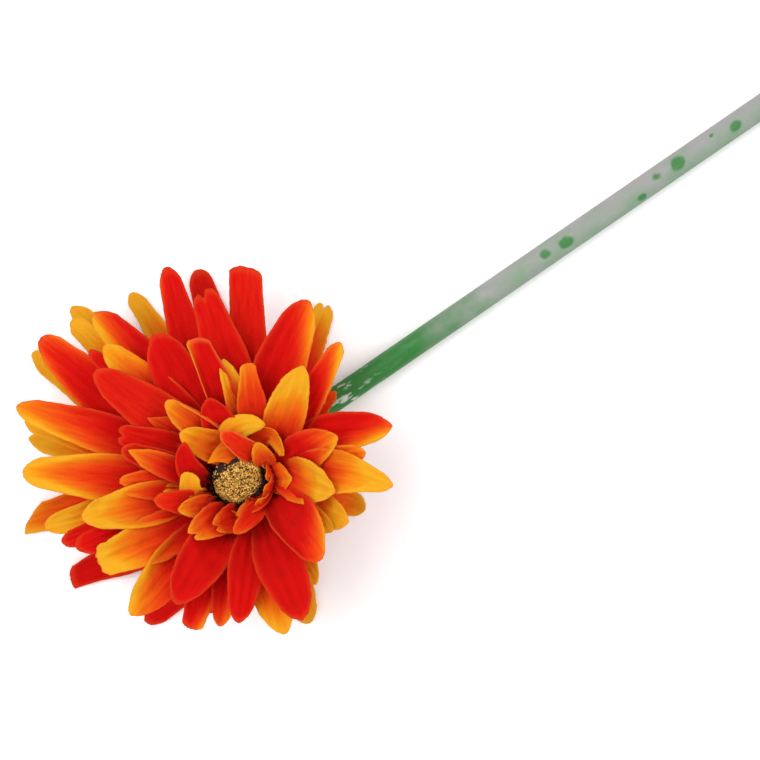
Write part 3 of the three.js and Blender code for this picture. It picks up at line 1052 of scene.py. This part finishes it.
@dataclass
class Stem:
    """The tube: straight in the calyx, round the neck, then straight along the surface."""

    head: Head
    radius: float = 3.65
    wall: float = 1.85
    bend_start: float = 27.0
    end: float = 400.0
    socket_start: float = -6.0
    neck_start: float = -13.0
    neck_pull: float = 5.5
    bend_pull: float = 19.0
    sides: int = 40

    def route(self) -> list[Vector]:
        """Points along the stem's middle.

        Returns:
            The points, from the calyx to the cut end.
        """
        disc = self.head.disc
        axis = self.head.axis()
        level = Vector((disc.x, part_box("stem_tube")[1].y / MM - self.radius, self.radius))
        inside = self.head.hub + axis * self.socket_start
        neck = self.head.hub + axis * self.neck_start
        corners = (
            neck,
            neck - axis * self.neck_pull,
            level + Vector((self.bend_start - self.bend_pull, 0, 0)),
            level + Vector((self.bend_start, 0, 0)),
        )
        points = [inside.lerp(neck, i / 4) for i in range(4)]
        for i in range(33):
            t = i / 32
            u = 1 - t
            points.append(
                corners[0] * u**3 + corners[1] * (3 * u * u * t) + corners[2] * (3 * u * t * t)
                + corners[3] * t**3
            )
        run = self.end - self.bend_start
        points += [level + Vector((self.bend_start + run * i / 80, 0, 0)) for i in range(1, 81)]
        return points

    def build(self, material: Material) -> Object:
        """Make the tube from a circle extruded along its route.

        Args:
            material: The plastic.

        Returns:
            The tube.
        """
        shape = bmesh.new()
        points = self.route()
        circle = bmesh.ops.create_circle(shape, cap_ends=False, radius=self.radius, segments=self.sides)
        verts = circle["verts"]
        ahead = (points[1] - points[0]).normalized()
        turn = Vector((0, 0, 1)).rotation_difference(ahead).to_matrix().to_4x4()
        bmesh.ops.transform(shape, matrix=Matrix.Translation(points[0]) @ turn, verts=verts)
        edges = list({e for v in verts for e in v.link_edges})
        for i in range(1, len(points)):
            grown = bmesh.ops.extrude_edge_only(shape, edges=edges)["geom"]
            verts = [g for g in grown if isinstance(g, BMVert)]
            edges = [g for g in grown if isinstance(g, BMEdge)]
            after = points[min(i + 1, len(points) - 1)] - points[i - 1]
            step = ahead.rotation_difference(after.normalized()).to_matrix().to_4x4()
            move = Matrix.Translation(points[i]) @ step @ Matrix.Translation(-points[i - 1])
            bmesh.ops.transform(shape, matrix=move, verts=verts)
            ahead = after.normalized()
        bmesh.ops.recalc_face_normals(shape, faces=shape.faces)
        middle = points[len(points) // 2]
        face = min(shape.faces, key=lambda f: (f.calc_center_median() - middle).length)
        if face.normal.dot(face.calc_center_median() - middle) < 0:
            bmesh.ops.reverse_faces(shape, faces=shape.faces)
        made = mesh_object("stem", shape, material)
        wall = made.modifiers.new("tube_wall", "SOLIDIFY")
        wall.thickness = self.wall * MM
        wall.offset = -1.0
        stand_for(made, "stem_tube")
        return made


@dataclass
class Calyx:
    """The moulded green cup behind the petals."""

    head: Head
    steps: int = 60
    ribs: int = 10
    profile: tuple[tuple[float, float], ...] = (
        (3.95, -6.0), (3.95, -10.3), (4.3, -10.5), (5.1, -10.2), (5.7, -8.8), (6.2, -7.0), (7.2, -5.0),
        (8.7, -3.2), (10.2, -1.7), (10.9, -0.8), (10.7, -0.1), (2.0, -0.05), (1.9, 8.4),
    )

    def build(self, material: Material) -> Object:
        """Spin the cup's profile, close it on its axis and rib its outside.

        Args:
            material: The plastic.

        Returns:
            The cup.
        """
        shape = bmesh.new()
        line = [(0.0, -5.7), *self.profile, (0.0, 8.9)]
        verts = [shape.verts.new((r, 0, z)) for r, z in line]
        edges = [shape.edges.new(pair) for pair in zip(verts, verts[1:])]
        bmesh.ops.spin(
            shape, geom=[*verts, *edges], cent=(0, 0, 0), axis=(0, 0, 1), angle=2 * math.pi, steps=self.steps,
            use_merge=True,
        )
        bmesh.ops.remove_doubles(shape, verts=shape.verts, dist=1e-3)
        bmesh.ops.recalc_face_normals(shape, faces=shape.faces)
        for vert in shape.verts:
            radius = math.hypot(vert.co.x, vert.co.y)
            if radius > 4.2 and vert.co.z < -0.3:
                turn = math.atan2(vert.co.y, vert.co.x)
                grow = 1 + 0.035 * math.cos(self.ribs * turn) * smooth(4.2, 8.0, radius)
                vert.co.x *= grow
                vert.co.y *= grow
        bmesh.ops.transform(shape, matrix=self.head.matrix(), verts=shape.verts)
        made = mesh_object("calyx_cup", shape, material)
        stand_for(made, "calyx")
        return made


@dataclass
class StamenFringe:
    """Dark filaments that stand round the dome."""

    head: Head
    base: float = 10.3
    open_side: float = 135.0
    count: int = 230
    sides: int = 5
    steps: int = 6

    def strand(self, shape: BMesh, dice: random.Random) -> None:
        """Add one filament, as a thin cone bent along its length.

        Args:
            shape: The fringe's mesh.
            dice: The seeded random numbers.
        """
        turn = dice.uniform(0, 2 * math.pi)
        radius = dice.uniform(7.4, 8.4)
        free = smooth(-0.3, 0.7, math.cos(turn - math.radians(self.open_side - self.head.toward)))
        length = dice.uniform(1.8, 2.8) + free * dice.uniform(0.5, 3.0)
        lean = math.radians(dice.uniform(-10, 20) + free * dice.uniform(0, 45))
        hook = math.radians(dice.uniform(-60, 30))
        thick = dice.uniform(0.13, 0.24)
        dye = shape.verts.layers.float["dye"]
        out = Vector((math.cos(turn), math.sin(turn), 0))
        aside = Vector((-out.y, out.x, 0))
        tint = dice.random() ** 2
        for vert in rod(shape, self.sides, self.steps):
            share = vert.co.z
            angle = lean + hook * share
            along = out * math.sin(angle) + Vector((0, 0, math.cos(angle)))
            sideways = along.cross(aside)
            local = (aside * vert.co.x + sideways * vert.co.y) * thick * (1 - 0.45 * share)
            run = length * share
            middle = out * (radius + run * math.sin(lean + hook * share / 2))
            middle += Vector((0, 0, self.base + run * math.cos(lean + hook * share / 2)))
            vert.co = middle + local
            vert[dye] = tint * share

    def build(self, material: Material) -> Object:
        """Make the ring and its filaments.

        Args:
            material: The filaments' finish.

        Returns:
            The fringe.
        """
        dice = random.Random(11)
        shape = bmesh.new()
        shape.verts.layers.float.new("dye")
        ring = bmesh.ops.create_cone(shape, cap_ends=True, segments=48, radius1=8.6, radius2=8.4, depth=0.9)
        bmesh.ops.translate(shape, vec=(0, 0, self.base + 0.2), verts=ring["verts"])
        for _ in range(self.count):
            self.strand(shape, dice)
        bmesh.ops.transform(shape, matrix=self.head.matrix(), verts=shape.verts)
        made = mesh_object("stamen_fringe", shape, material)
        stand_for(made, "stamen_ring")
        return made


@dataclass
class PollenDome:
    """The dome and the granules glued on it."""

    head: Head
    base: float = 10.4
    radius: float = 7.45
    height: float = 6.2
    count: int = 3600
    bare_side: float = 95.0
    bare_from: float = 2.2

    def surface(self, turn: float, share: float) -> tuple[Vector, Vector]:
        """A point of the dome and its normal.

        Args:
            turn: The angle round the axis, in radians.
            share: From 0 at the top to 1 at the rim.

        Returns:
            The point and the outward normal, in the head's frame.
        """
        angle = share * math.pi / 2
        r = self.radius * math.sin(angle)
        z = self.base + self.height * math.cos(angle)
        lumps = noise.noise(Vector((r * math.cos(turn), r * math.sin(turn), z)) * 0.45) * 0.5
        normal = Vector(
            (math.sin(angle) * math.cos(turn), math.sin(angle) * math.sin(turn), math.cos(angle) * 1.2)
        ).normalized()
        return Vector((r * math.cos(turn), r * math.sin(turn), z)) + normal * lumps, normal

    def build(self, material: Material) -> Object:
        """Make the dome and strew the granules over it.

        Args:
            material: The granules' finish.

        Returns:
            The dome.
        """
        dice = random.Random(5)
        bare = math.radians(self.bare_side - self.head.toward)
        shape = bmesh.new()
        dye = shape.verts.layers.float.new("dye")
        core = bmesh.ops.create_uvsphere(shape, u_segments=48, v_segments=24, radius=1.0)["verts"]
        for vert in core:
            x, y, z = vert.co
            angle = math.acos(max(-1.0, min(1.0, z)))
            turn = math.atan2(y, x)
            if angle <= math.pi / 2:
                vert.co, _ = self.surface(turn, angle / (math.pi / 2))
            else:
                vert.co = Vector((x * self.radius, y * self.radius, self.base + z * 0.1))
            vert[dye] = 0.06
        for _ in range(self.count):
            share = math.acos(1 - dice.random() * 0.98) / (math.pi / 2)
            turn = dice.uniform(0, 2 * math.pi)
            spot, normal = self.surface(turn, share)
            aside = spot.x * math.cos(bare) + spot.y * math.sin(bare)
            if aside + dice.uniform(-0.6, 0.6) > self.bare_from and dice.random() > 0.06:
                continue
            size = dice.uniform(0.16, 0.34)
            made = bmesh.ops.create_icosphere(shape, subdivisions=1, radius=size)["verts"]
            stretch = Vector((dice.uniform(0.7, 1.3), dice.uniform(0.7, 1.3), dice.uniform(0.6, 1.1)))
            turned = normal.rotation_difference(Vector((0, 0, 1))).to_matrix()
            tint = dice.random()
            patch = noise.noise(spot * 0.9) * 0.5 + 0.5
            for vert in made:
                vert.co = spot + normal * size * 0.3 + turned @ Vector(
                    (vert.co.x * stretch.x, vert.co.y * stretch.y, vert.co.z * stretch.z)
                )
                # Painted shade: the granules get darker towards the foot of the dome, next to the fringe
                vert[dye] = min(1.0, 0.7 * tint + 0.55 * patch - 0.3 * smooth(0.7, 1.0, share))
        bmesh.ops.transform(shape, matrix=self.head.matrix(), verts=shape.verts)
        made = mesh_object("granule_dome", shape, material)
        stand_for(made, "pollen_dome")
        return made


# ---------------------------------------------------------------------------
# Studio


@dataclass(frozen=True)
class MattSweep(Finish):
    """Matt white paper, which throws no reflection."""

    label: str = "matt_white_sweep"
    colour: str = "FBFBFB"

    def surface(self, tree: NodeTree) -> Node:
        """Build the paper's one node."""
        return add_node(tree, "BsdfPrincipled", {"Base Color": linear(self.colour), "Roughness": 0.9})


@dataclass
class Studio:
    """Pale floor, soft lights, white surroundings and the camera that looks straight down."""

    head: Head
    turn: float = 34.47
    right: float = 42.5
    up: float = 29.0
    view_width: float = 225.7
    distance: float = 1000.0
    focus_height: float = 36.0

    def camera(self) -> None:
        """Make the camera over the flower, turned so that the stem runs up to the right."""
        turn = math.radians(self.turn)
        across = Vector((math.cos(turn), -math.sin(turn), 0))
        upward = Vector((math.sin(turn), math.cos(turn), 0))
        disc = self.head.disc
        centre = Vector((disc.x, disc.y, 0)) + across * self.right + upward * self.up
        lens = bpy.data.cameras.new("camera")
        lens.sensor_width = 36.0
        lens.lens = 36.0 * (self.distance - self.focus_height) / self.view_width
        lens.clip_end = 20.0
        made = bpy.data.objects.new("camera", lens)
        bpy.context.scene.collection.objects.link(made)
        frame = Matrix((across, upward, Vector((0, 0, 1)))).transposed().to_4x4()
        made.matrix_world = Matrix.Translation((centre + Vector((0, 0, self.distance))) * MM) @ frame
        bpy.context.scene.camera = made

    def light(self, name: str, place: tuple[float, float, float], size: float, power: float) -> None:
        """Hang a square soft light that faces the flower.

        Args:
            name: The light's name.
            place: Where it hangs, in metres from the disc.
            size: Its side in metres.
            power: Its power in watts.
        """
        data = bpy.data.lights.new(name, "AREA")
        data.size = size
        data.energy = power
        made = bpy.data.objects.new(name, data)
        bpy.context.scene.collection.objects.link(made)
        disc = self.head.disc * MM
        made.location = disc + Vector(place)
        made.rotation_euler = Vector(place).to_track_quat("Z", "Y").to_euler()

    def build(self) -> None:
        """Make the floor, the lights and the surroundings."""
        shape = bmesh.new()
        bmesh.ops.create_grid(shape, x_segments=8, y_segments=8, size=2500.0)
        floor = mesh_object("pale_floor", shape, MattSweep().material())
        self.light("key", (-0.4, 0.6, 1.3), 1.0, 13.0)
        self.light("fill", (0.8, -0.6, 1.2), 1.4, 7.0)
        world = bpy.data.worlds.new("white_surroundings")
        world.use_nodes = True
        world.node_tree.nodes["Background"].inputs["Color"].default_value = linear("FFFFFF")
        world.node_tree.nodes["Background"].inputs["Strength"].default_value = 0.9
        bpy.context.scene.world = world
        bpy.context.scene.view_settings.view_transform = "Standard"


def main() -> None:
    """Build the flower round its CAD frame."""
    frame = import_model()
    head = Head()
    studio = Studio(head)
    studio.camera()
    studio.build()
    cloth = PetalCloth().material()
    for i, (rise, petals) in enumerate(LAYERS):
        along, over = (30, 12) if i >= 5 else (44, 16)
        PetalLayer(i + 1, rise, petals, head, along=along, over=over).build(cloth)
    disc = head.disc
    Stem(head).build(StemPlastic(origin=Vector((disc.x, disc.y, 0))).material())
    Calyx(head).build(MouldedPlastic("moulded_green_polyethylene", "3E8A48", "2F7038").material())
    StamenFringe(head).build(Filament().material())
    PollenDome(head).build(Granules().material())
    for node, finish in (
        ("disc_button", MouldedPlastic("moulded_black_polyethylene", "0E0A0A", "050303", 0.6)),
        ("stem_wire", DrawnWire()),
    ):
        slots = frame["nodes"][node].data.materials
        slots.clear()
        slots.append(finish.material())
        LOG.info("%s: CAD node with its own finish", node)
    bpy.context.view_layer.update()


if __name__ == "__main__":
    main()
